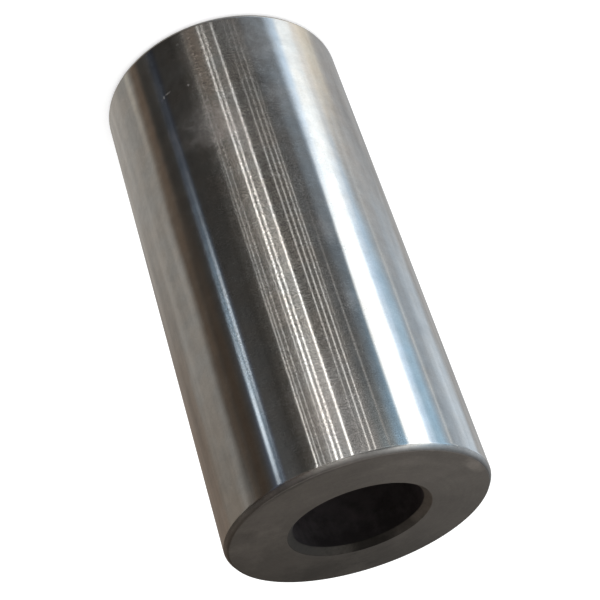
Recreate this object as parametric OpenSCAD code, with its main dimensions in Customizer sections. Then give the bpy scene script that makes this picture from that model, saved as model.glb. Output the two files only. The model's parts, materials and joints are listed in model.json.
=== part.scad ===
// Hollow piston pin, one piece of case-hardened steel: turned, bored through, then ground on its wall.
// It stands on one end face. Z is the pin's own axis, and Z = 0 is the lower end face.

/* [Body] */
// Diameter of the ground wall, which runs in the piston bosses and in the rod's bush
pin_d = 50.8; // [40:0.1:65]
// Length over the two end faces
pin_length = 104; // [60:0.5:140]

/* [Bore] */
// Diameter of the plain bore, which runs straight through
bore_d = 25; // [12:0.5:32]
// Radial width of the chamfer at each mouth of the bore
mouth_width = 1.2; // [0.5:0.1:2.5]
// Slope of that chamfer, measured from the pin's axis
mouth_angle = 45; // [30:1:60]
// Radius that breaks the chamfer's two edges
mouth_break = 0.2; // [0.05:0.05:0.5]

/* [Rims] */
// Width of the rim bevel, measured across the end face
rim_width = 0.7; // [0.4:0.1:1.5]
// Length of the rim bevel, measured along the wall
rim_length = 1; // [0.6:0.1:2]
// Radius that blends the bevel into the wall and into the end face
rim_blend = 0.4; // [0.1:0.05:0.8]

/* [Hidden] */
// Facets round the pin, and straight steps in each blend of its section
$fn = 180;
blend_steps = 6;

pin_r = pin_d / 2;
bore_r = bore_d / 2;
mouth_depth = mouth_width / tan(mouth_angle);

// Unit vector along v
function unit(v) = v / norm(v);

// Vector v turned anticlockwise by an angle
function turned(v, angle) = [v.x * cos(angle) - v.y * sin(angle), v.x * sin(angle) + v.y * cos(angle)];

// Points of the arc of radius r that rounds corner b of an anticlockwise outline, between a and c
function rounded(a, b, c, r) =
    let (
        to_a = unit(a - b),
        to_c = unit(c - b),
        half_angle = acos(to_a * to_c) / 2,
        centre = b + unit(to_a + to_c) * r / sin(half_angle),
        start = b + to_a * r / tan(half_angle) - centre,
        turn = 180 - 2 * half_angle
    )
    [for (i = [0 : blend_steps]) centre + turned(start, turn * i / blend_steps)];

// Corners of the section at the lower end, from the bore out to the wall:
// each is a point and the radius that rounds it
lower_end = [
    [[bore_r, mouth_depth], mouth_break],
    [[bore_r + mouth_width, 0], mouth_break],
    [[pin_r - rim_width, 0], rim_blend],
    [[pin_r, rim_length], rim_blend]
];

// The upper end is the lower one turned over, so its corners run back from the wall to the bore
upper_end = [
    for (i = [len(lower_end) - 1 : -1 : 0])
        [[lower_end[i][0].x, pin_length - lower_end[i][0].y], lower_end[i][1]]
];

corners = concat(lower_end, upper_end);

// Position of corner i, counted round the closed outline
function corner(i) = corners[(i + len(corners)) % len(corners)][0];

// Section of the pin on one side of its axis
module wall_section() {
    polygon([
        for (i = [0 : len(corners) - 1])
            each rounded(corner(i - 1), corner(i), corner(i + 1), corners[i][1])
    ]);
}

// The whole pin: its section turned about the axis
module piston_pin() {
    color("silver")
        rotate_extrude()
            wall_section();
}

piston_pin();
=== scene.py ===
"""A hollow piston pin of ground steel, stood on one end face, with its studio and its camera."""

import json
import logging
import math
from dataclasses import dataclass, field
from enum import Enum

import bmesh
import bpy
from mathutils import Matrix, Vector


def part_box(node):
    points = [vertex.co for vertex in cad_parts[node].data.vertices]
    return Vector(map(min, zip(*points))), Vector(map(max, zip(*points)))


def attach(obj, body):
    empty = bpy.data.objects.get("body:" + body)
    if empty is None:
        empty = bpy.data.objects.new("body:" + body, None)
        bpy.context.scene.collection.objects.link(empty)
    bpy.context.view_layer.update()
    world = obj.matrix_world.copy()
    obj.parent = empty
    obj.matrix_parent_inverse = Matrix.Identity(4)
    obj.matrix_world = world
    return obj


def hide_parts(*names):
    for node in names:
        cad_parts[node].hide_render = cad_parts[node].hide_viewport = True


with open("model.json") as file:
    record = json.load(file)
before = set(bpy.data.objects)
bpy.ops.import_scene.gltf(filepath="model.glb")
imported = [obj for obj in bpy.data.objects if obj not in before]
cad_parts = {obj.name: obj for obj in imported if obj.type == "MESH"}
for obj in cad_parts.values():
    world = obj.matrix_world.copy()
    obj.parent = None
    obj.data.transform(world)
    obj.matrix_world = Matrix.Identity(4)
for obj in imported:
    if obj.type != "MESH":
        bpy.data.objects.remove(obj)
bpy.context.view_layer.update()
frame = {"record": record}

MM = 0.001
TOUCH = 0.001 * MM
FULL_TURN = 2 * math.pi
NODE = "piston_pin"
BODY = "root"
# Noise keeps between its low and its high level nearly everywhere
NOISE_LOW = 0.25
NOISE_MIDDLE = 0.5
NOISE_HIGH = 0.75
# Sockets of a Mix node that are for its share and its two colours, and for the result
MIX_INPUTS = (0, 6, 7)
MIX_OUTPUT = 2
# A mirrored ray turns this many times as far as the mirror does
MIRROR_GAIN = 2

Triple = tuple[float, float, float]
Colour = Triple
log = logging.getLogger("piston_pin")


class Zone(Enum):
    """Stretches of the pin's surface that are finished in their own way. A value is a material slot."""

    WALL = 0
    RIM = 1
    FACE = 2
    MOUTH = 3
    BORE = 4


@dataclass(frozen=True)
class Pattern:
    """A noise pattern.

    scale is how many features it has for each unit of the coordinates, along all three or along each.
    detail is how many finer layers it has, and roughness is how strong those are.
    """

    scale: float | Triple
    detail: float = 2.0
    roughness: float = 0.5


class Graph:
    """A node tree with short calls that add a node, feed it and hand back its output."""

    def __init__(self, tree: bpy.types.NodeTree) -> None:
        """Empties the tree.

        Args:
            tree: the node tree of a material or of the world.
        """
        self.tree = tree
        self.tree.nodes.clear()

    def node(self, kind: str, inputs: dict[str | int, object] | None = None,
             **settings: object) -> bpy.types.Node:
        """Adds one node.

        Args:
            kind: the node's type, such as ShaderNodeMath.
            inputs: what goes to each input, either a value or another node's output.
            settings: properties of the node itself.

        Returns:
            The new node.
        """
        new = self.tree.nodes.new(kind)
        for name, value in settings.items():
            setattr(new, name, value)
        for key, value in (inputs or {}).items():
            if isinstance(value, bpy.types.NodeSocket):
                self.tree.links.new(value, new.inputs[key])
            else:
                new.inputs[key].default_value = value
        return new

    def math(self, operation: str, *values: object) -> bpy.types.NodeSocket:
        """Adds a Math node.

        Args:
            operation: what it works out, such as MULTIPLY.
            values: its inputs in order, each a number or an output.

        Returns:
            The result's output.
        """
        return self.node("ShaderNodeMath", dict(enumerate(values)), operation=operation).outputs[0]

    def chained(self, operation: str, *values: object) -> bpy.types.NodeSocket:
        """Works several values into one, two at a time.

        Args:
            operation: what a Math node does with each two.
            values: one or more numbers or outputs.

        Returns:
            The last result's output.
        """
        result = values[0]
        for value in values[1:]:
            result = self.math(operation, result, value)
        return result

    def total(self, *values: object) -> bpy.types.NodeSocket:
        """Adds up several numbers or outputs."""
        return self.chained("ADD", *values)

    def product(self, *values: object) -> bpy.types.NodeSocket:
        """Multiplies several numbers or outputs."""
        return self.chained("MULTIPLY", *values)

    def remap(self, value: object, low: float, high: float, to_low: float = 0.0, to_high: float = 1.0,
              smooth: bool = True) -> bpy.types.NodeSocket:
        """Maps one range to another and holds the ends.

        Args:
            value: the number or output to map.
            low: where the source range starts. It may be the greater end.
            high: where the source range ends.
            to_low: the result at low.
            to_high: the result at high.
            smooth: eases in and out if true, and runs straight if not.

        Returns:
            The mapped value's output.
        """
        kind = "SMOOTHSTEP" if smooth else "LINEAR"
        inputs = {"Value": value, "From Min": low, "From Max": high, "To Min": to_low, "To Max": to_high}
        return self.node("ShaderNodeMapRange", inputs, interpolation_type=kind).outputs[0]

    def between(self, share: object, first: float, last: float) -> bpy.types.NodeSocket:
        """Goes straight from a first number to a last one as a share goes from 0 to 1."""
        return self.remap(share, 0.0, 1.0, first, last, smooth=False)

    def noise(self, place: bpy.types.NodeSocket, pattern: Pattern) -> bpy.types.NodeSocket:
        """Adds a noise pattern that goes from about 0 to 1.

        Args:
            place: the coordinates to read.
            pattern: the pattern.

        Returns:
            The pattern's output.
        """
        scale = pattern.scale
        if isinstance(scale, tuple):
            place = self.node("ShaderNodeMapping", {"Vector": place, "Scale": scale}).outputs[0]
            scale = 1.0
        inputs = {"Vector": place, "Scale": scale, "Detail": pattern.detail, "Roughness": pattern.roughness}
        return self.node("ShaderNodeTexNoise", inputs).outputs[0]

    def blend(self, share: object, first: object, second: object) -> bpy.types.NodeSocket:
        """Mixes two colours.

        Args:
            share: 0 for the first colour and 1 for the second.
            first: a colour of four numbers, or an output.
            second: the same.

        Returns:
            The mixed colour's output.
        """
        inputs = dict(zip(MIX_INPUTS, (share, first, second)))
        return self.node("ShaderNodeMix", inputs, data_type="RGBA").outputs[MIX_OUTPUT]

    def scaled(self, colour: object, factor: bpy.types.NodeSocket) -> bpy.types.NodeSocket:
        """Multiplies a colour of three numbers, or an output, by a factor."""
        return self.node("ShaderNodeVectorMath", {0: colour, "Scale": factor}, operation="SCALE").outputs[0]

    def object_place(self) -> bpy.types.NodeSocket:
        """Gives the object's own coordinates, in metres."""
        return self.node("ShaderNodeTexCoord").outputs["Object"]

    def off_axis(self, place: bpy.types.NodeSocket) -> bpy.types.NodeSocket:
        """Gives the distance of each spot from the pin's axis."""
        level = self.node("ShaderNodeVectorMath", {0: place, 1: (1.0, 1.0, 0.0)}, operation="MULTIPLY")
        return self.node("ShaderNodeVectorMath", {0: level.outputs[0]}, operation="LENGTH").outputs["Value"]

    def around(self, apart: bpy.types.Node) -> bpy.types.NodeSocket:
        """Gives the angle of separated coordinates round the pin's axis, from the camera's side."""
        return self.math("ARCTAN2", self.product(apart.outputs[0], -1), self.product(apart.outputs[1], -1))

    def centred(self, noise: bpy.types.NodeSocket) -> bpy.types.NodeSocket:
        """Spreads noise over the range from -1 to 1."""
        return self.remap(noise, NOISE_LOW, NOISE_HIGH, -1.0, 1.0, smooth=False)

    def varied(self, noise: bpy.types.NodeSocket, depth: float) -> bpy.types.NodeSocket:
        """Turns noise into a factor that strays from 1 by up to a depth."""
        return self.remap(noise, NOISE_LOW, NOISE_HIGH, 1 - depth, 1 + depth, smooth=False)

    def strayed(self, pattern: bpy.types.NodeSocket, *depths: object) -> bpy.types.NodeSocket:
        """Turns a pattern from -1 to 1 into a factor that strays from 1 by up to the depths' product."""
        return self.total(self.product(pattern, *depths), 1.0)

    def bump(self, height: bpy.types.NodeSocket) -> bpy.types.NodeSocket:
        """Tilts the surface by a height in metres."""
        return self.node("ShaderNodeBump", {"Height": height, "Strength": 1.0, "Distance": 1.0}).outputs[0]

    def seen_rays(self) -> bpy.types.NodeSocket:
        """Tells the rays that see the white surround from those that only light the pin.

        Returns:
            An output that is 1 for a camera, mirror or glass ray and 0 for any other.
        """
        path = self.node("ShaderNodeLightPath")
        kinds = [path.outputs[name] for name in ("Is Camera Ray", "Is Glossy Ray", "Is Transmission Ray")]
        return self.math("MINIMUM", self.total(*kinds), 1.0)

    def surface(self, shader: bpy.types.Node) -> None:
        """Makes a shader the material's surface."""
        self.node("ShaderNodeOutputMaterial", {"Surface": shader.outputs[0]})


def solid(colour: Colour, level: float = 1.0) -> tuple[float, float, float, float]:
    """Gives a colour of four numbers, at a level of brightness."""
    return (colour[0] * level, colour[1] * level, colour[2] * level, 1.0)


def new_material(name: str) -> tuple[bpy.types.Material, Graph]:
    """Makes an empty material.

    Args:
        name: its name.

    Returns:
        The material and its node tree.
    """
    made = bpy.data.materials.new(name)
    made.use_nodes = True
    return made, Graph(made.node_tree)


def new_object(name: str, shape: bmesh.types.BMesh) -> bpy.types.Object:
    """Puts a finished shape into the scene, at the origin.

    Args:
        name: name of the object and of its mesh.
        shape: the shape, which is freed.

    Returns:
        The object.
    """
    mesh = bpy.data.meshes.new(name)
    shape.to_mesh(mesh)
    shape.free()
    made = bpy.data.objects.new(name, mesh)
    bpy.context.scene.collection.objects.link(made)
    return made


def turned(section: list[tuple[float, float]], steps: int, closed: bool) -> bmesh.types.BMesh:
    """Turns a section all the way round the Z axis.

    Args:
        section: its corners in order, as radius and height.
        steps: how many faces go round the axis.
        closed: joins the last corner to the first if true.

    Returns:
        The turned shape.
    """
    made = bmesh.new()
    points = [made.verts.new((radius, 0.0, height)) for radius, height in section]
    following = points[1:] + points[:1] if closed else points[1:]
    outline = [made.edges.new(pair) for pair in zip(points, following)]
    bmesh.ops.spin(made, geom=points + outline, axis=(0, 0, 1), cent=(0, 0, 0), angle=FULL_TURN, steps=steps,
                   use_merge=True)
    bmesh.ops.remove_doubles(made, verts=made.verts, dist=TOUCH)
    bmesh.ops.recalc_face_normals(made, faces=made.faces)
    return made


@dataclass(frozen=True)
class Patch:
    """A patch of the surface that differs from the rest, such as a dried film, a scuff, a painted highlight
    or painted shade.

    seen_at is its angle round the pin in degrees, from the camera's side and positive to the picture's
    right. The other sizes are in millimetres. reach is its height on the wall, or its radius on an end face.
    half_width is measured round the wall, or as far round as that on a face. limit is a reach at which the
    patch stops short, at a ragged line, and 0 means that it has none.
    """

    seen_at: float
    reach: float
    half_width: float
    half_reach: float
    share: float
    limit: float = 0.0


@dataclass(frozen=True)
class Fraying:
    """How patches fade out, and how ragged their outlines are.

    fade_start is where a patch's share begins to rise, with 1 at its outline and 0 at its middle, and
    ragged_depth is how much noise moves that. The limit_ sizes are in millimetres: how much noise and
    strokes move the line at a patch's limit, and how far the line fades above it and below.
    """

    ragged: Pattern = Pattern(330.0, 5.0, 0.65)
    strokes: Pattern = Pattern((1300.0, 1300.0, 260.0), 2.0, 0.6)
    fade_start: float = 1.4
    ragged_depth: float = 2.4
    limit_ragged: float = 5.0
    limit_strokes: float = 10.0
    limit_above: float = 1.0
    limit_below: float = 4.0

    def spread(self, graph: Graph, place: bpy.types.NodeSocket, patches: tuple[Patch, ...],
               wall_radius: float, on_face: bool = False) -> bpy.types.NodeSocket:
        """Says how much of some patches lies on each spot of the pin.

        Args:
            graph: the material's node tree.
            place: the object's own coordinates.
            patches: the patches.
            wall_radius: radius of the wall.
            on_face: takes a patch's reach as a radius if true, and as a height if not.

        Returns:
            The share's output.
        """
        apart = graph.node("ShaderNodeSeparateXYZ", {0: place})
        turn = graph.around(apart)
        reach = graph.product(graph.off_axis(place) if on_face else apart.outputs[2], 1 / MM)
        ragged = graph.math("SUBTRACT", graph.noise(place, self.ragged), NOISE_MIDDLE)
        strokes = graph.math("SUBTRACT", graph.noise(place, self.strokes), NOISE_MIDDLE)
        shares = []
        for patch in patches:
            aside = graph.math("SUBTRACT", turn, math.radians(patch.seen_at))
            aside = graph.math("WRAP", aside, math.pi, -math.pi)
            near = graph.node("ShaderNodeCombineXYZ", {
                0: graph.product(aside, wall_radius / MM / patch.half_width),
                1: graph.product(graph.math("SUBTRACT", reach, patch.reach), 1 / patch.half_reach),
            })
            away = graph.node("ShaderNodeVectorMath", {0: near.outputs[0]}, operation="LENGTH")
            frayed = graph.total(away.outputs["Value"], graph.product(ragged, self.ragged_depth))
            share = graph.remap(frayed, self.fade_start, 0.0, 0.0, patch.share)
            if patch.limit:
                edge = graph.total(reach, graph.product(ragged, self.limit_ragged),
                                   graph.product(strokes, self.limit_strokes))
                kept = graph.remap(edge, patch.limit + self.limit_above, patch.limit - self.limit_below)
                share = graph.product(share, kept)
            shares.append(share)
        return graph.total(*shares)


@dataclass(frozen=True)
class GroundWall:
    """Bright finish of the wall. It is ground round the pin, so its lights run out along the pin.

    Its grain and scratches are deeper towards the foot, and in coarse patches, where grit and the lay of
    the grinding show too. Its tone drifts between a warmer and a cooler one, and stains cloud it in
    places. Dried films lie on it: they dull it, tint it and fill its grain.
    """

    warm_tint: Colour = (0.612, 0.589, 0.562)
    cool_tint: Colour = (0.588, 0.589, 0.582)
    drift: Pattern = Pattern(170.0, 3.0, 0.6)
    drift_span: tuple[float, float] = (0.35, 0.65)
    roughness: float = 0.1
    anisotropy: float = 1.0
    grain: Pattern = Pattern((8000.0, 8000.0, 10400.0), 0.0)
    grain_height: float = 0.16e-6
    foot_grain_height: float = 1.8e-6
    scratches: Pattern = Pattern(7000.0, 0.0)
    scratch_span: tuple[float, float] = (0.58, 0.8)
    scratch_share: float = 0.5
    coarse: tuple[Patch, ...] = (
        Patch(4, 52, 10.5, 90, 1.0),
        Patch(-25.5, 70, 1.5, 24, 0.5),
    )
    smooth_share: float = 0.4
    grit: Pattern = Pattern(6000.0, 0.0)
    grit_depth: float = 0.05
    coarse_grit_depth: float = 0.5
    lay: Pattern = Pattern((900.0, 900.0, 4600.0), 1.0)
    lay_depth: float = 0.02
    coarse_lay_depth: float = 0.2
    mottle: Pattern = Pattern(300.0, 4.0, 0.6)
    mottle_depth: float = 0.11
    stained: tuple[Patch, ...] = (
        Patch(20, 12, 6, 22, 0.8),
        Patch(-17, 16, 5, 14, 0.6),
        Patch(4, 85, 3.5, 13, 0.7),
    )
    stain: Pattern = Pattern(340.0, 3.0)
    stain_span: tuple[float, float] = (0.42, 0.58)
    stain_depth: float = 0.12
    film_tint: Colour = (0.61, 0.572, 0.552)
    film_breaks: Pattern = Pattern(1500.0, 3.0, 0.65)
    film_break_depth: float = 0.18
    filled_share: float = 0.4
    film_dulling: float = 0.16
    film_roughness: float = 0.08
    films: tuple[Patch, ...] = (
        # A cloud near the foot, on the camera's side, which ends at a ragged tide line
        Patch(-6, 28, 4.4, 5.5, 0.6, limit=33),
        Patch(-11, 25, 5.0, 7, 0.3, limit=31.5),
        Patch(-19, 26, 3.6, 6, 0.1, limit=31.5),
        Patch(3, 30, 5, 8, 0.35),
        Patch(-15, 10, 3, 3, 0.1),
        # A blotched film near the top
        Patch(1, 93, 5.5, 12, 0.4),
        # Thin clouds to the right of the first one
        Patch(24.5, 8, 3.6, 8, 0.3),
        Patch(16, 8, 2.4, 6, 0.2),
        Patch(25, 23, 2.6, 5, 0.25),
        # Thin clouds near the top
        Patch(24.5, 56, 1.6, 3.5, 0.45),
        Patch(25, 72, 1.5, 3, 0.4),
        # Small marks
        Patch(-23.6, 14.0, 0.65, 0.14, 1.6),
        Patch(-26.0, 14.4, 0.16, 0.4, 1.6),
        Patch(-13.1, 14.8, 0.25, 0.25, 1.2),
        Patch(-12.2, 3.8, 0.25, 0.25, 0.6),
        Patch(23.8, 31.5, 0.25, 0.25, 0.6),
    )
    fraying: Fraying = Fraying()

    def relief(self, graph: Graph, place: bpy.types.NodeSocket, coarse: bpy.types.NodeSocket,
               filled: bpy.types.NodeSocket, length: float) -> bpy.types.NodeSocket:
        """Says how high the ground surface stands at each spot.

        Args:
            graph: the material's node tree.
            place: the object's own coordinates.
            coarse: how coarse the finish is, from 0 to 1.
            filled: how much of the grain film leaves open.
            length: length of the wall.

        Returns:
            The height's output, in metres.
        """
        reach = graph.node("ShaderNodeSeparateXYZ", {0: place}).outputs[2]
        depth = graph.remap(reach, 0.0, length, self.foot_grain_height, self.grain_height, smooth=False)
        scratches = graph.remap(graph.noise(place, self.scratches), *self.scratch_span)
        height = graph.total(graph.noise(place, self.grain), graph.product(scratches, self.scratch_share))
        even = graph.between(coarse, self.smooth_share, 1.0)
        return graph.product(height, depth, even, filled)

    def material(self, pin: "Pin") -> bpy.types.Material:
        """Builds the wall's material.

        Args:
            pin: the pin that wears it.

        Returns:
            The material.
        """
        made, graph = new_material("ground_wall")
        place = graph.object_place()
        coarse, stained, films = [self.fraying.spread(graph, place, patches, pin.wall_radius)
                                  for patches in (self.coarse, self.stained, self.films)]
        broken = graph.varied(graph.noise(place, self.film_breaks), self.film_break_depth)
        film = graph.product(films, broken)
        filled = graph.between(film, 1.0, self.filled_share)
        grit_depth = graph.between(coarse, self.grit_depth, self.coarse_grit_depth)
        grit = graph.strayed(graph.centred(graph.noise(place, self.grit)), grit_depth, filled)
        lay_depth = graph.between(coarse, self.lay_depth, self.coarse_lay_depth)
        lay = graph.strayed(graph.centred(graph.noise(place, self.lay)), lay_depth, filled)
        mottle = graph.varied(graph.noise(place, self.mottle), self.mottle_depth)
        clouds = graph.remap(graph.noise(place, self.stain), *self.stain_span, -1.0, 1.0)
        stain = graph.strayed(clouds, stained, self.stain_depth)
        roughened = graph.product(film, self.film_roughness)
        roughness = graph.total(graph.product(mottle, self.roughness), roughened)
        along = graph.node("ShaderNodeCombineXYZ", {2: 1.0})
        drift = graph.remap(graph.noise(place, self.drift), *self.drift_span)
        tint = graph.blend(drift, solid(self.warm_tint), solid(self.cool_tint))
        tint = graph.blend(film, tint, solid(self.film_tint))
        graph.surface(graph.node("ShaderNodeBsdfPrincipled", {
            "Base Color": graph.scaled(tint, graph.product(grit, lay, mottle, stain)),
            "Metallic": graph.math("SUBTRACT", 1.0, graph.product(film, self.film_dulling)),
            "Roughness": roughness, "Anisotropic": self.anisotropy, "Tangent": along.outputs[0],
            "Normal": graph.bump(self.relief(graph, place, coarse, filled, pin.length)),
        }))
        return made


@dataclass(frozen=True)
class DullSteel:
    """Dark, dull finish that heat treatment leaves on what isn't ground afterwards.

    Its tone is uneven: it is painted lighter towards one side of the pin, as if lit from there, by the
    share named painted_light_gain. Clouds, grit, faint turning marks and patches vary it too: the patches are
    scuff marks, painted light and painted shade.
    """

    name: str
    tint: Colour
    roughness: float
    grain: Pattern = Pattern(2500.0, 3.0, 0.6)
    grain_height: float = 6e-6
    cloud: Pattern = Pattern(130.0, 4.0, 0.6)
    cloud_depth: float = 0.15
    grit: Pattern = Pattern(1800.0, 2.0, 0.6)
    grit_depth: float = 0.08
    # Painted light: the side of the pin that is painted lighter, as if lit from there, and by what share
    painted_lit_side: Triple = (-0.71, -0.71, 0.0)
    painted_light_gain: float = 0.4
    swirl: Pattern = Pattern((1400.0, 3.0, 1.0), 3.0, 0.6)
    swirl_depth: float = 0.0
    scuffs_and_painted_light: tuple[Patch, ...] = ()
    patches_on_face: bool = True
    fraying: Fraying = Fraying()

    def tone(self, graph: Graph, place: bpy.types.NodeSocket, pin: "Pin") -> bpy.types.NodeSocket:
        """Says how much lighter or darker than the tint each spot is.

        Args:
            graph: the material's node tree.
            place: the object's own coordinates.
            pin: the pin that wears it.

        Returns:
            The factor's output.
        """
        cloud = graph.varied(graph.noise(place, self.cloud), self.cloud_depth)
        grit = graph.varied(graph.noise(place, self.grit), self.grit_depth)
        # Painted light: the tone grows lighter towards one side, as if lit from there
        side = graph.node("ShaderNodeVectorMath", {0: place, 1: self.painted_lit_side}, operation="DOT_PRODUCT")
        across = graph.strayed(side.outputs["Value"], self.painted_light_gain / pin.wall_radius)
        # Patches of scuff marks, painted light and painted shade
        if self.scuffs_and_painted_light:
            scuffs_and_painted_light_share = self.fraying.spread(graph, place, self.scuffs_and_painted_light, pin.wall_radius, self.patches_on_face)
            across = graph.total(across, scuffs_and_painted_light_share)
        if self.swirl_depth:
            turn = graph.around(graph.node("ShaderNodeSeparateXYZ", {0: place}))
            ring = graph.node("ShaderNodeCombineXYZ", {
                0: graph.off_axis(place), 1: graph.math("SINE", turn), 2: graph.math("COSINE", turn),
            })
            swirl = graph.noise(ring.outputs[0], self.swirl)
            across = graph.product(across, graph.varied(swirl, self.swirl_depth))
        return graph.product(cloud, grit, across)

    def skin(self, graph: Graph, place: bpy.types.NodeSocket, pin: "Pin") -> tuple[object, object]:
        """Gives the tint and the roughness, each as a plain value or an output."""
        return self.tint, self.roughness

    def material(self, pin: "Pin") -> bpy.types.Material:
        """Builds the material.

        Args:
            pin: the pin that wears it.

        Returns:
            The material.
        """
        made, graph = new_material(self.name)
        place = graph.object_place()
        tint, roughness = self.skin(graph, place, pin)
        height = graph.product(graph.noise(place, self.grain), self.grain_height)
        graph.surface(graph.node("ShaderNodeBsdfPrincipled", {
            "Base Color": graph.scaled(tint, self.tone(graph, place, pin)), "Metallic": 1.0,
            "Roughness": roughness, "Normal": graph.bump(height),
        }))
        return made


@dataclass(frozen=True)
class RimSteel(DullSteel):
    """Finish of the rim bevel. The end face's dull skin thins out across it, towards the ground wall."""

    outer_tint: Colour = (0.28, 0.268, 0.255)
    outer_roughness: float = 0.26

    def skin(self, graph: Graph, place: bpy.types.NodeSocket, pin: "Pin") -> tuple[object, object]:
        """Runs the tint and the roughness out across the bevel.

        Args:
            graph: the material's node tree.
            place: the object's own coordinates.
            pin: the pin that wears it.

        Returns:
            The outputs of the tint and of the roughness.
        """
        share = graph.remap(graph.off_axis(place), pin.wall_radius - pin.rim_width, pin.wall_radius)
        tint = graph.blend(share, solid(self.tint), solid(self.outer_tint))
        return tint, graph.between(share, self.roughness, self.outer_roughness)


def pin_finishes() -> dict[Zone, GroundWall | DullSteel]:
    """Gives the finish that each zone of the pin wears."""
    return {
        Zone.WALL: GroundWall(),
        Zone.RIM: RimSteel(
            "rim_bevel", (0.078, 0.071, 0.065), 0.45, grain_height=3e-6, painted_light_gain=0.2,
            # These patches are painted light: lighter stretches of the bevel are painted highlights and a
            # painted sheen, and darker ones are painted shade
            scuffs_and_painted_light=(
                Patch(50, 24.9, 11.0, 1.2, 0.5),
                Patch(-54, 24.8, 14.0, 0.4, 0.6),
                Patch(-17, 25.25, 7.0, 0.45, 0.5),
                Patch(-50, 25.35, 14.0, 0.4, -0.35),
                Patch(15, 25.4, 5.0, 0.35, -0.22),
            )),
        Zone.FACE: DullSteel(
            "end_face", (0.124, 0.1115, 0.099), 0.5, painted_light_gain=0.33, swirl_depth=0.06,
            # The lighter patches are scuff marks and smears; the two broad darker ones at the far side are
            # painted shade, and the last one darkens a strip along the rim's inner edge
            scuffs_and_painted_light=(
                Patch(70, 23.6, 4.0, 1.3, 0.8),
                Patch(35, 21.0, 7.0, 1.6, 0.25),
                Patch(12, 19.5, 8.0, 1.2, 0.12),
                Patch(78, 20.0, 4.0, 3.0, 0.12),
                Patch(-82, 19.5, 10.0, 6.0, 0.3),
                Patch(-45, 19.5, 14.0, 6.0, 0.2),
                Patch(168, 20.0, 12.0, 8.0, -0.2),
                Patch(-150, 20.0, 10.0, 8.0, -0.25),
                Patch(-15, 24.5, 14.0, 0.6, -0.4),
            )),
        Zone.MOUTH: DullSteel(
            "bore_mouth", (0.061, 0.054, 0.047), 0.6,
            # These patches are painted light and shade: the chamfer is painted lighter on the picture's right
            # and darker on its far side
            scuffs_and_painted_light=(
                Patch(98, 13.1, 16.0, 4.0, 1.4),
                Patch(178, 13.1, 14.0, 4.0, -0.6),
            )),
        Zone.BORE: DullSteel(
            "bore_wall", (0.102, 0.087, 0.088), 0.9, grain_height=0.5e-6, cloud_depth=0.02, grit_depth=0.0,
            painted_light_gain=0.3, patches_on_face=False,
            # These patches are painted shade: they darken the bore's far side near each mouth, where it lies
            # in shade
            scuffs_and_painted_light=(
                Patch(180, 104, 60.0, 9.0, -0.5),
                Patch(180, 0, 60.0, 9.0, -0.5),
            )),
    }


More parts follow.
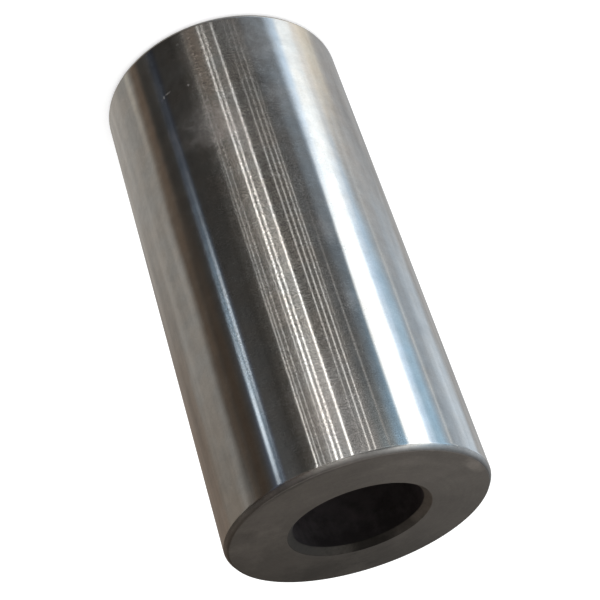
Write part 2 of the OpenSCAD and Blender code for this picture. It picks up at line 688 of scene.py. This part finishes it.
@dataclass
class Pin:
    """The pin itself: a thick tube with a bevelled rim and a chamfered bore at each end.

    The slopes part its zones. Each is the upright share of a face's normal: the wall stays under
    ground_slope, the end face lies above face_slope, the chamfer lies under flat_slope and the bore under
    plain_slope.
    """

    wall_radius: float
    length: float
    bore_radius: float
    rim_width: float = 0.7 * MM
    rim_length: float = 1.0 * MM
    rim_inner_blend: float = 0.4 * MM
    rim_outer_blend: float = 0.9 * MM
    ground_slope: float = 0.3
    face_slope: float = 0.9
    flat_slope: float = 0.999
    plain_slope: float = 0.001
    mouth_width: float = 1.2 * MM
    mouth_break: float = 0.2 * MM
    steps: int = 384
    blend_segments: int = 7
    face_weight: int = 100
    finishes: dict[Zone, GroundWall | DullSteel] = field(default_factory=pin_finishes)

    def corners(self) -> list[tuple[float, float]]:
        """Gives the corners of the section, as radius and height.

        Returns:
            Them in order round the section, from the bore's lower mouth out to the wall and back.
        """
        lower = [
            (self.bore_radius, self.mouth_width),
            (self.bore_radius + self.mouth_width, 0.0),
            (self.wall_radius - self.rim_width, 0.0),
            (self.wall_radius, self.rim_length),
        ]
        return lower + [(radius, self.length - height) for radius, height in reversed(lower)]

    def blends(self) -> list[tuple[tuple[float, float], float]]:
        """Gives each corner's setback, which is how far its blend reaches along the two sides.

        Returns:
            The corner, as radius and height, and its setback.
        """
        points = self.corners()
        radii = [self.mouth_break, self.mouth_break, self.rim_inner_blend, self.rim_outer_blend]
        result = []
        for index, (corner, radius) in enumerate(zip(points, radii + radii[::-1])):
            before = Vector(points[index - 1]) - Vector(corner)
            after = Vector(points[(index + 1) % len(points)]) - Vector(corner)
            turn = math.pi - before.angle(after)
            result.append((corner, radius * math.tan(turn / 2)))
        return result

    def body(self) -> bmesh.types.BMesh:
        """Turns the section about the axis and rounds its corners.

        Returns:
            The closed solid.
        """
        made = turned(self.corners(), self.steps, closed=True)
        for (radius, height), setback in self.blends():
            ring = [edge for edge in made.edges if all(self.on_ring(v, radius, height) for v in edge.verts)]
            bmesh.ops.bevel(made, geom=ring, offset=setback, offset_type="OFFSET", affect="EDGES",
                            segments=self.blend_segments, profile=0.5, material=-1)
        return made

    @staticmethod
    def on_ring(vertex: bmesh.types.BMVert, radius: float, height: float) -> bool:
        """Says whether a vertex lies on the ring that a corner of the section makes."""
        place = vertex.co
        return abs(place.xy.length - radius) < TOUCH and abs(place.z - height) < TOUCH

    def zone(self, face: bmesh.types.BMFace) -> Zone:
        """Says which stretch of the surface a face belongs to.

        Args:
            face: a face of the finished body.

        Returns:
            Its zone.
        """
        middle = face.calc_center_median()
        radius = middle.xy.length
        outer = radius > (self.bore_radius + self.wall_radius) / 2
        slope = abs(face.normal.z)
        if slope > (self.face_slope if outer else self.flat_slope):
            return Zone.FACE
        if outer:
            return Zone.WALL if slope < self.ground_slope else Zone.RIM
        return Zone.BORE if slope < self.plain_slope else Zone.MOUTH

    def build(self) -> bpy.types.Object:
        """Makes the finished piece, with its materials, and seats it in the frame.

        Returns:
            The piece.
        """
        made = self.body()
        for face in made.faces:
            face.smooth = True
            face.material_index = self.zone(face).value
        piece = new_object("turned_pin", made)
        for zone in Zone:
            piece.data.materials.append(self.finishes[zone].material(self))
        even = piece.modifiers.new("even_normals", "WEIGHTED_NORMAL")
        even.weight = self.face_weight
        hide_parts(NODE)
        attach(piece, BODY)
        return piece


@dataclass(frozen=True)
class ViewCamera:
    """Camera at the photograph's angle. It hangs nearly upside down, so the upper end comes out lowest."""

    lens: float = 87.79
    sensor: float = 36.0
    near_clip: float = 0.01
    place: Triple = (0.0, -0.24815, 0.20727)
    right: Triple = (-0.9507, 0.1558, 0.2681)
    up: Triple = (-0.3099, -0.4983, -0.8097)

    def build(self) -> bpy.types.Object:
        """Makes the camera and gives it to the scene.

        Returns:
            The camera's object.
        """
        right = Vector(self.right).normalized()
        back = right.cross(Vector(self.up)).normalized()
        up = back.cross(right)
        data = bpy.data.cameras.new("view_camera")
        data.lens = self.lens
        data.sensor_width = self.sensor
        data.clip_start = self.near_clip
        camera = bpy.data.objects.new("view_camera", data)
        camera.matrix_world = Matrix.Translation(self.place) @ Matrix((right, up, back)).transposed().to_4x4()
        bpy.context.scene.collection.objects.link(camera)
        bpy.context.scene.camera = camera
        return camera


@dataclass(frozen=True)
class Panel:
    """An upright panel of the light tent, given by where the ground wall mirrors it to the camera.

    seen_at and seen_width are angles on the wall in degrees, from the camera's side and positive to the
    picture's right. top and foot are its brightness where the wall's two ends mirror it. low and high are
    heights on the wall in metres, past which it isn't seen, and edge and fade are how soft its sides and
    its ends are. lean is how far it drifts over half the wall's height, and sway is how far its sides
    wander, both in degrees.
    """

    seen_at: float
    seen_width: float
    edge: float
    colour: Colour
    top: float
    foot: float
    low: float = -1.0
    high: float = 1.0
    fade: float = 0.02
    lean: float = 0.0
    sway: float = 0.0


NEUTRAL: Colour = (1.0, 1.0, 1.0)
WARM: Colour = (1.0, 0.95, 0.88)
BROWN: Colour = (1.0, 0.82, 0.68)
RUST: Colour = (1.0, 0.76, 0.58)
CREAM: Colour = (1.0, 0.935, 0.81)
TAN: Colour = (1.0, 0.89, 0.77)
PALE: Colour = (1.0, 0.97, 0.92)
LAMP: Colour = (1.0, 0.985, 0.955)
NAVY: Colour = (0.70, 0.78, 1.0)
ICE: Colour = (0.95, 0.99, 1.0)
COOL: Colour = (0.84, 0.95, 1.0)
HAZY: Colour = (0.80, 0.90, 1.0)
BLUE: Colour = (0.66, 0.82, 1.0)
DEEP: Colour = (0.53, 0.78, 1.0)


def tube(seen_at: float, top: float, foot: float, seen_width: float = 0.6, low: float = -1.0,
         high: float = 1.0, fade: float = 0.02, lean: float = 0.0) -> Panel:
    """Gives a thin lit tube, whose edge is as soft as it is wide.

    Args:
        seen_at: its angle on the wall, as a panel's.
        top: its brightness at the wall's upper end.
        foot: its brightness at the wall's lower end.
        seen_width: its width on the wall, in degrees.
        low: height below which it isn't seen.
        high: height above which it isn't seen.
        fade: how soft its ends are.
        lean: how far it drifts over half the wall's height.

    Returns:
        The tube as a panel.
    """
    return Panel(seen_at, seen_width, seen_width, LAMP, top, foot, low, high, fade, lean)


@dataclass
class LightTent:
    """Ring of panels that stands round the table and closes under it. Only mirror rays meet it.

    It is made in equal sectors, each with a material that holds only the panels that can show there.
    Folds and streaks vary its light.
    """

    wall_radius: float
    camera_distance: float
    camera_height: float
    pin_length: float
    sectors: int = 8
    steps: int = 128
    radius: float = 0.8
    top: float = 1.3
    bottom: float = -1.6
    colour: Colour = (0.30, 0.295, 0.28)
    folds: Pattern = Pattern((6.0, 6.0, 12.0), 4.0, 0.6)
    fold_depth: float = 0.24
    streaks: Pattern = Pattern((34.0, 34.0, 1.6), 3.0, 0.6)
    streak_depth: float = 0.14
    sways: Pattern = Pattern((3.0, 3.0, 14.0), 3.0, 0.6)
    panels: tuple[Panel, ...] = (
        # Left of the picture: cloth, a brown edge and the dark gap beside it
        Panel(-63.3, 43.5, 4.0, WARM, 0.31, 0.45),
        Panel(-71, 27, 3.0, BROWN, 0.22, 0.25, low=0.066, fade=0.03, sway=6),
        Panel(-49.5, 9, 4.0, WARM, 0.31, 0.36, sway=6),
        Panel(-43.2, 2.6, 3.0, WARM, 0.3, 0.42, high=0.05, fade=0.02, sway=3),
        Panel(-44.8, 2.6, 1.8, CREAM, 0.3, 0.62, high=0.015, fade=0.009, sway=2),
        Panel(-53, 14, 5.0, TAN, 0.235, 0.235, low=0.09, fade=0.014, sway=5),
        Panel(-38.2, 7.4, 4.5, RUST, 0.08, 0.175, sway=3),
        Panel(-23, 26, 4.0, WARM, 0.06, 0.045),
        Panel(-33.3, 5, 4.0, RUST, 0.062, 0.075, low=0.05, fade=0.02),
        Panel(-20, 8, 6.0, NEUTRAL, 0.1, 0.07, low=0.075, fade=0.03),
        Panel(-10.8, 5, 5.0, WARM, 0.1, 0.075),
        Panel(-24, 26, 8.0, BROWN, 0.17, 0.17, low=0.2, fade=0.05),
        Panel(-31, 12, 6.0, WARM, 0.09, 0.09, high=0.003, fade=0.004),
        Panel(-39.5, 3, 4.0, WARM, 0.16, 0.16, low=0.1, fade=0.006),
        # Side window, seen at a slant
        Panel(-26.4, 4.0, 2.6, NAVY, 0.22, 0.034, high=0.06, fade=0.02, lean=0.3),
        Panel(-24.9, 4.4, 2.2, NAVY, 0.15, 0.13, low=0.06, fade=0.02),
        Panel(-27.1, 3.0, 2.2, NAVY, 0.13, 0.1, low=0.085, fade=0.02),
        Panel(-25.6, 3.4, 2.2, DEEP, 0.64, 0.0, low=0.056, high=0.092, fade=0.02),
        Panel(-25.0, 1.5, 1.1, HAZY, 3.6, 3.6, low=0.0865, high=0.0975, fade=0.007, lean=-1.4),
        Panel(-24.9, 1.2, 1.0, HAZY, 1.75, 1.75, low=0.062, high=0.08, fade=0.01, lean=0.8),
        # Ceiling
        Panel(5.2, 25.8, 6.0, WARM, 0.215, 0.108, sway=2),
        Panel(0.6, 9.4, 4.0, PALE, 0.43, 0.17),
        Panel(3.2, 2.2, 3.0, PALE, 0.68, 0.2, low=0.035, fade=0.015),
        Panel(-3.8, 3.0, 3.0, WARM, 0.34, 0.22, high=0.05, fade=0.03),
        Panel(-5.2, 6.5, 5.0, BROWN, 0.3, 0.17, high=0.018, fade=0.018, sway=3),
        Panel(11, 28, 6.0, NEUTRAL, 0.41, 0.38, low=0.097, fade=0.014),
        Panel(13, 13, 5.0, NEUTRAL, 0.2, 0.2, high=0.004, fade=0.004),
        # Grey wall beside the ceiling
        Panel(22.5, 11, 5.0, NEUTRAL, 0.125, 0.13, sway=3),
        Panel(27.3, 7.2, 4.0, HAZY, 0.16, 0.34, sway=3),
        Panel(26.6, 5.5, 4.0, HAZY, 0.4, 0.4, low=0.039, high=0.051, fade=0.006),
        Panel(28.4, 4.4, 3.5, DEEP, 0.66, 0.36, low=0.08, fade=0.016, sway=1),
        Panel(20.5, 8, 4.0, COOL, 0.44, 0.3, low=0.099, fade=0.006),
        Panel(25.8, 5.5, 4.0, DEEP, 0.92, 0.5, low=0.099, fade=0.006),
        Panel(24.5, 9, 5.0, HAZY, 0.33, 0.33, high=0.016, fade=0.012, sway=3),
        # Right of the picture: walls beyond the tall window
        Panel(68, 34, 5.0, NEUTRAL, 0.47, 0.44),
        Panel(51, 16, 5.0, NEUTRAL, 0.5, 0.53, sway=4),
        Panel(51, 16, 5.0, HAZY, 0.56, 0.58, low=0.06, fade=0.02),
        Panel(48.7, 13.6, 6.0, CREAM, 1.8, 0.96, high=0.0265, fade=0.011, sway=5),
        Panel(43.2, 8, 7.0, PALE, 2.5, 1.13, high=0.0275, fade=0.012, sway=4),
        Panel(50.2, 2.6, 3.5, NEUTRAL, 0.8, 0.68, low=0.026, high=0.046, fade=0.008),
        Panel(57, 10, 6.0, CREAM, 0.84, 0.84, high=0.0045, fade=0.005, sway=3),
        Panel(61.6, 10.5, 6.0, HAZY, 0.98, 0.62, low=0.06, fade=0.03, sway=3),
        Panel(48.7, 0.9, 0.8, ICE, 1.0, 0.8, low=0.05, fade=0.02),
        # Tall window
        Panel(34.1, 7.2, 5.0, BLUE, 2.6, 1.05, high=0.05, fade=0.03, lean=-0.6, sway=2),
        Panel(41.8, 6, 4.0, BLUE, 1.15, 1.0, low=0.04, fade=0.03, lean=-1.0),
        Panel(43.2, 7, 5.0, DEEP, 1.0, 1.0, low=0.07, fade=0.03, lean=-1.0),
        Panel(37.2, 8, 3.5, ICE, 2.7, 1.24, high=0.05, fade=0.02, lean=-2.7, sway=2),
        Panel(36.4, 9, 6.0, BLUE, 1.6, 1.4, low=0.05, fade=0.02, lean=-1.2),
        Panel(32.7, 5.6, 1.7, ICE, 2.2, 2.0, low=0.045, high=0.086, fade=0.012, lean=-3.9),
        Panel(31.9, 6.0, 1.7, ICE, 2.2, 2.0, low=0.083, fade=0.008, lean=-1.4),
        Panel(35.3, 6.0, 2.4, ICE, 2.2, 2.0, low=0.045, fade=0.03, lean=-1.2),
        # Ceiling tubes
        tube(-1.2, 3.1, 0.75),
        tube(-1.2, 2.5, 2.3, low=0.04, high=0.064, fade=0.012),
        tube(0.8, 2.7, 0.68),
        tube(0.8, 2.2, 2.2, low=0.044, high=0.058, fade=0.01),
        tube(5.0, 3.0, 0.46, lean=-0.2),
        tube(5.0, 3.4, 0.82, low=0.016, high=0.048, fade=0.01, lean=-0.2),
        # Faint tubes
        tube(-9.3, 1.2, 0.2, 0.3, low=0.05, fade=0.04, lean=0.3),
        tube(-9.1, 2.6, 0.8, 0.3, low=0.094, fade=0.01),
        tube(-8.1, 1.2, 0.4, 0.3, low=0.03, fade=0.03, lean=0.3),
        tube(-6.2, 1.1, 0.5, 0.3, low=0.03, fade=0.03, lean=0.2),
        tube(-3.0, 1.0, 4.5, 0.3, low=0.07, fade=0.012),
        tube(10.2, 1.7, 1.1, 0.35, low=0.025, high=0.088, fade=0.01, lean=-0.5),
        tube(12.4, 1.8, 0.85, 0.35, low=0.025, fade=0.03, lean=-0.6),
        tube(14.6, 1.7, 0.85, 0.35, low=0.02, fade=0.03, lean=-0.6),
        tube(16.2, 1.5, 1.0, 0.35, low=0.036, high=0.07, fade=0.01, lean=-0.4),
        tube(19.9, 0.6, 0.5, 0.5, low=0.065, fade=0.01),
    )

    def tent_place(self, seen_at: float, height: float) -> tuple[float, float]:
        """Works out where the wall's mirror image of a spot on the tent comes from.

        Args:
            seen_at: angle on the wall, in degrees from the camera's side.
            height: height on the wall.

        Returns:
            The angle round the tent in radians, and the height on it.
        """
        angle = math.radians(seen_at)
        ahead = self.camera_distance - self.wall_radius * math.cos(angle)
        aside = self.wall_radius * math.sin(angle)
        mirrored = MIRROR_GAIN * angle + math.atan2(aside, ahead)
        offset = math.asin(self.wall_radius * math.sin(mirrored - angle) / self.radius)
        slope = (self.camera_height - height) / math.hypot(ahead, aside)
        reach = self.radius * math.cos(offset) - self.wall_radius * math.cos(mirrored - angle)
        return mirrored - offset, height - slope * reach

    def tent_height(self, height: float) -> float:
        """Gives the height on the tent that the wall's front mirrors at a height."""
        return self.tent_place(0, height)[1]

    def span(self, panel: Panel) -> tuple[float, float, float]:
        """Works out where a panel stands.

        Args:
            panel: the panel.

        Returns:
            Its angle round the tent and its half width, both in radians, and the height on the tent that
            the wall mirrors halfway up.
        """
        middle_height = self.pin_length / 2
        centre, level = self.tent_place(panel.seen_at, middle_height)
        side = self.tent_place(panel.seen_at + panel.seen_width / 2, middle_height)[0] - centre
        return centre, side, level

    def sector_at(self, angle: float) -> int:
        """Gives the sector that an angle round the tent lies in."""
        return int((angle + math.pi) / FULL_TURN * self.sectors) % self.sectors

    def shows_in(self, panel: Panel, sector: int) -> bool:
        """Says whether any of a panel can show in a sector.

        Args:
            panel: the panel.
            sector: the sector's number.

        Returns:
            True if it can.
        """
        centre, side, level = self.span(panel)
        rise = self.tent_place(panel.seen_at, self.pin_length)[1] - level
        farthest = max(abs(self.top - level), abs(self.bottom - level)) / abs(rise)
        reach = side + math.radians(panel.edge + panel.sway + MIRROR_GAIN * abs(panel.lean) * farthest)
        middle = (sector + 0.5) * FULL_TURN / self.sectors - math.pi
        apart = abs((centre - middle + math.pi) % FULL_TURN - math.pi)
        return apart < reach + FULL_TURN / self.sectors / 2

    def mask(self, graph: Graph, angle: bpy.types.NodeSocket, height: bpy.types.NodeSocket,
             wander: bpy.types.NodeSocket, panel: Panel) -> bpy.types.NodeSocket:
        """Says how much of a panel covers each spot of the tent.

        Args:
            graph: the tent's node tree.
            angle: angle round the tent.
            height: height on the tent.
            wander: a slow drift from side to side, from -1 to 1.
            panel: the panel.

        Returns:
            The share's output, from 0 to 1.
        """
        centre, side, level = self.span(panel)
        soft = math.radians(panel.edge)
        if panel.lean:
            lean = math.radians(panel.lean) * MIRROR_GAIN
            upper = self.tent_place(panel.seen_at, self.pin_length)[1]
            drift = graph.product(graph.math("SUBTRACT", height, level), lean / (upper - level))
            angle = graph.math("SUBTRACT", angle, drift)
        if panel.sway:
            angle = graph.total(angle, graph.product(wander, math.radians(panel.sway)))
        away = graph.math("WRAP", graph.math("SUBTRACT", angle, centre), math.pi, -math.pi)
        shares = [graph.remap(graph.math("ABSOLUTE", away), side + soft, max(side - soft, 0.0))]
        if panel.low >= 0:
            shares.append(graph.remap(height, self.tent_height(panel.low - panel.fade),
                                      self.tent_height(panel.low + panel.fade)))
        if panel.high <= self.pin_length:
            shares.append(graph.remap(height, self.tent_height(panel.high + panel.fade),
                                      self.tent_height(panel.high - panel.fade)))
        return graph.product(*shares)

    def material(self, sector: int) -> bpy.types.Material:
        """Builds the light that one sector's panels give back.

        Args:
            sector: the sector's number.

        Returns:
            The material.
        """
        made, graph = new_material(f"light_tent_{sector}")
        made.cycles.emission_sampling = "NONE"
        place = graph.object_place()
        apart = graph.node("ShaderNodeSeparateXYZ", {0: place})
        angle = graph.around(apart)
        height = apart.outputs[2]
        ends = [self.tent_height(end) for end in (0.0, self.pin_length)]
        wander = graph.centred(graph.noise(place, self.sways))
        colour: object = solid(self.colour)
        for panel in self.panels:
            if not self.shows_in(panel, sector):
                continue
            level = graph.remap(height, *ends, panel.foot, panel.top, smooth=False)
            share = self.mask(graph, angle, height, wander, panel)
            colour = graph.blend(share, colour, graph.scaled(panel.colour, level))
        folds = graph.varied(graph.noise(place, self.folds), self.fold_depth)
        streaks = graph.varied(graph.noise(place, self.streaks), self.streak_depth)
        strength = graph.product(folds, streaks)
        graph.surface(graph.node("ShaderNodeEmission", {"Color": colour, "Strength": strength}))
        return made

    def build(self) -> bpy.types.Object:
        """Makes the tent.

        Returns:
            Its object.
        """
        section = [(0.0, self.bottom), (self.radius, self.bottom), (self.radius, self.top)]
        made = turned(section, self.steps, closed=False)
        for face in made.faces:
            middle = face.calc_center_median()
            face.material_index = self.sector_at(math.atan2(-middle.x, -middle.y))
        tent = new_object("light_tent", made)
        for sector in range(self.sectors):
            tent.data.materials.append(self.material(sector))
        tent.visible_camera = False
        tent.visible_diffuse = False
        tent.visible_transmission = False
        tent.visible_volume_scatter = False
        tent.visible_shadow = False
        return tent


@dataclass(frozen=True)
class Table:
    """White table top that the pin stands on. It keeps the pin's soft shadow."""

    half_side: float = 3.0
    drop: float = 0.02 * MM
    white: float = 0.8
    lift: float = 0.5

    def build(self) -> bpy.types.Object:
        """Makes the table.

        Returns:
            Its object.
        """
        made = bmesh.new()
        bmesh.ops.create_grid(made, x_segments=1, y_segments=1, size=self.half_side,
                              matrix=Matrix.Translation((0, 0, -self.drop)))
        paint, graph = new_material("table_white")
        diffuse = graph.node("ShaderNodeBsdfDiffuse", {"Color": solid(NEUTRAL, self.white)})
        strength = graph.product(graph.seen_rays(), self.lift)
        light = graph.node("ShaderNodeEmission", {"Color": solid(NEUTRAL), "Strength": strength})
        graph.surface(graph.node("ShaderNodeAddShader", {0: diffuse.outputs[0], 1: light.outputs[0]}))
        table = new_object("table_top", made)
        table.data.materials.append(paint)
        table.visible_glossy = False
        return table


@dataclass(frozen=True)
class Studio:
    """Plain soft light: an even white surround and one broad lamp above the pin's right side."""

    surround: float = 0.9
    lamp_place: Triple = (-0.35, -0.15, 0.9)
    lamp_size: float = 1.2
    lamp_power: float = 2.0

    def build(self) -> None:
        """Makes the surround and the lamp."""
        world = bpy.data.worlds.new("white_surround")
        bpy.context.scene.world = world
        world.use_nodes = True
        world.cycles.sampling_method = "NONE"
        graph = Graph(world.node_tree)
        strength = graph.between(graph.seen_rays(), self.surround, 1.0)
        light = graph.node("ShaderNodeBackground", {"Color": solid(NEUTRAL), "Strength": strength})
        graph.node("ShaderNodeOutputWorld", {"Surface": light.outputs[0]})
        data = bpy.data.lights.new("broad_lamp", "AREA")
        data.shape = "SQUARE"
        data.size = self.lamp_size
        data.energy = self.lamp_power
        lamp = bpy.data.objects.new("broad_lamp", data)
        lamp.location = self.lamp_place
        lamp.rotation_mode = "QUATERNION"
        lamp.rotation_quaternion = (-Vector(self.lamp_place)).to_track_quat("-Z", "Y")
        bpy.context.scene.collection.objects.link(lamp)
        lamp.visible_camera = False


def bore_radius() -> float:
    """Reads the bore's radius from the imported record's mounts."""
    bore = next(mount for mount in frame["record"]["mounts"] if mount["name"] == "bore")
    return bore["dims"]["r_mm"] * MM


def main() -> None:
    """Builds the pin, its studio and its camera."""
    logging.basicConfig(level=logging.INFO, format="%(name)s: %(message)s")
    low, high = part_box(NODE)
    pin = Pin(wall_radius=(high.x - low.x) / 2, length=high.z - low.z, bore_radius=bore_radius())
    piece = pin.build()
    log.info("%s: %d faces", piece.name, len(piece.data.polygons))
    camera = ViewCamera()
    camera.build()
    Table().build()
    Studio().build()
    LightTent(pin.wall_radius, -camera.place[1], camera.place[2], pin.length).build()
    settings = bpy.context.scene.view_settings
    settings.view_transform = "Standard"


if __name__ == "__main__":
    main()
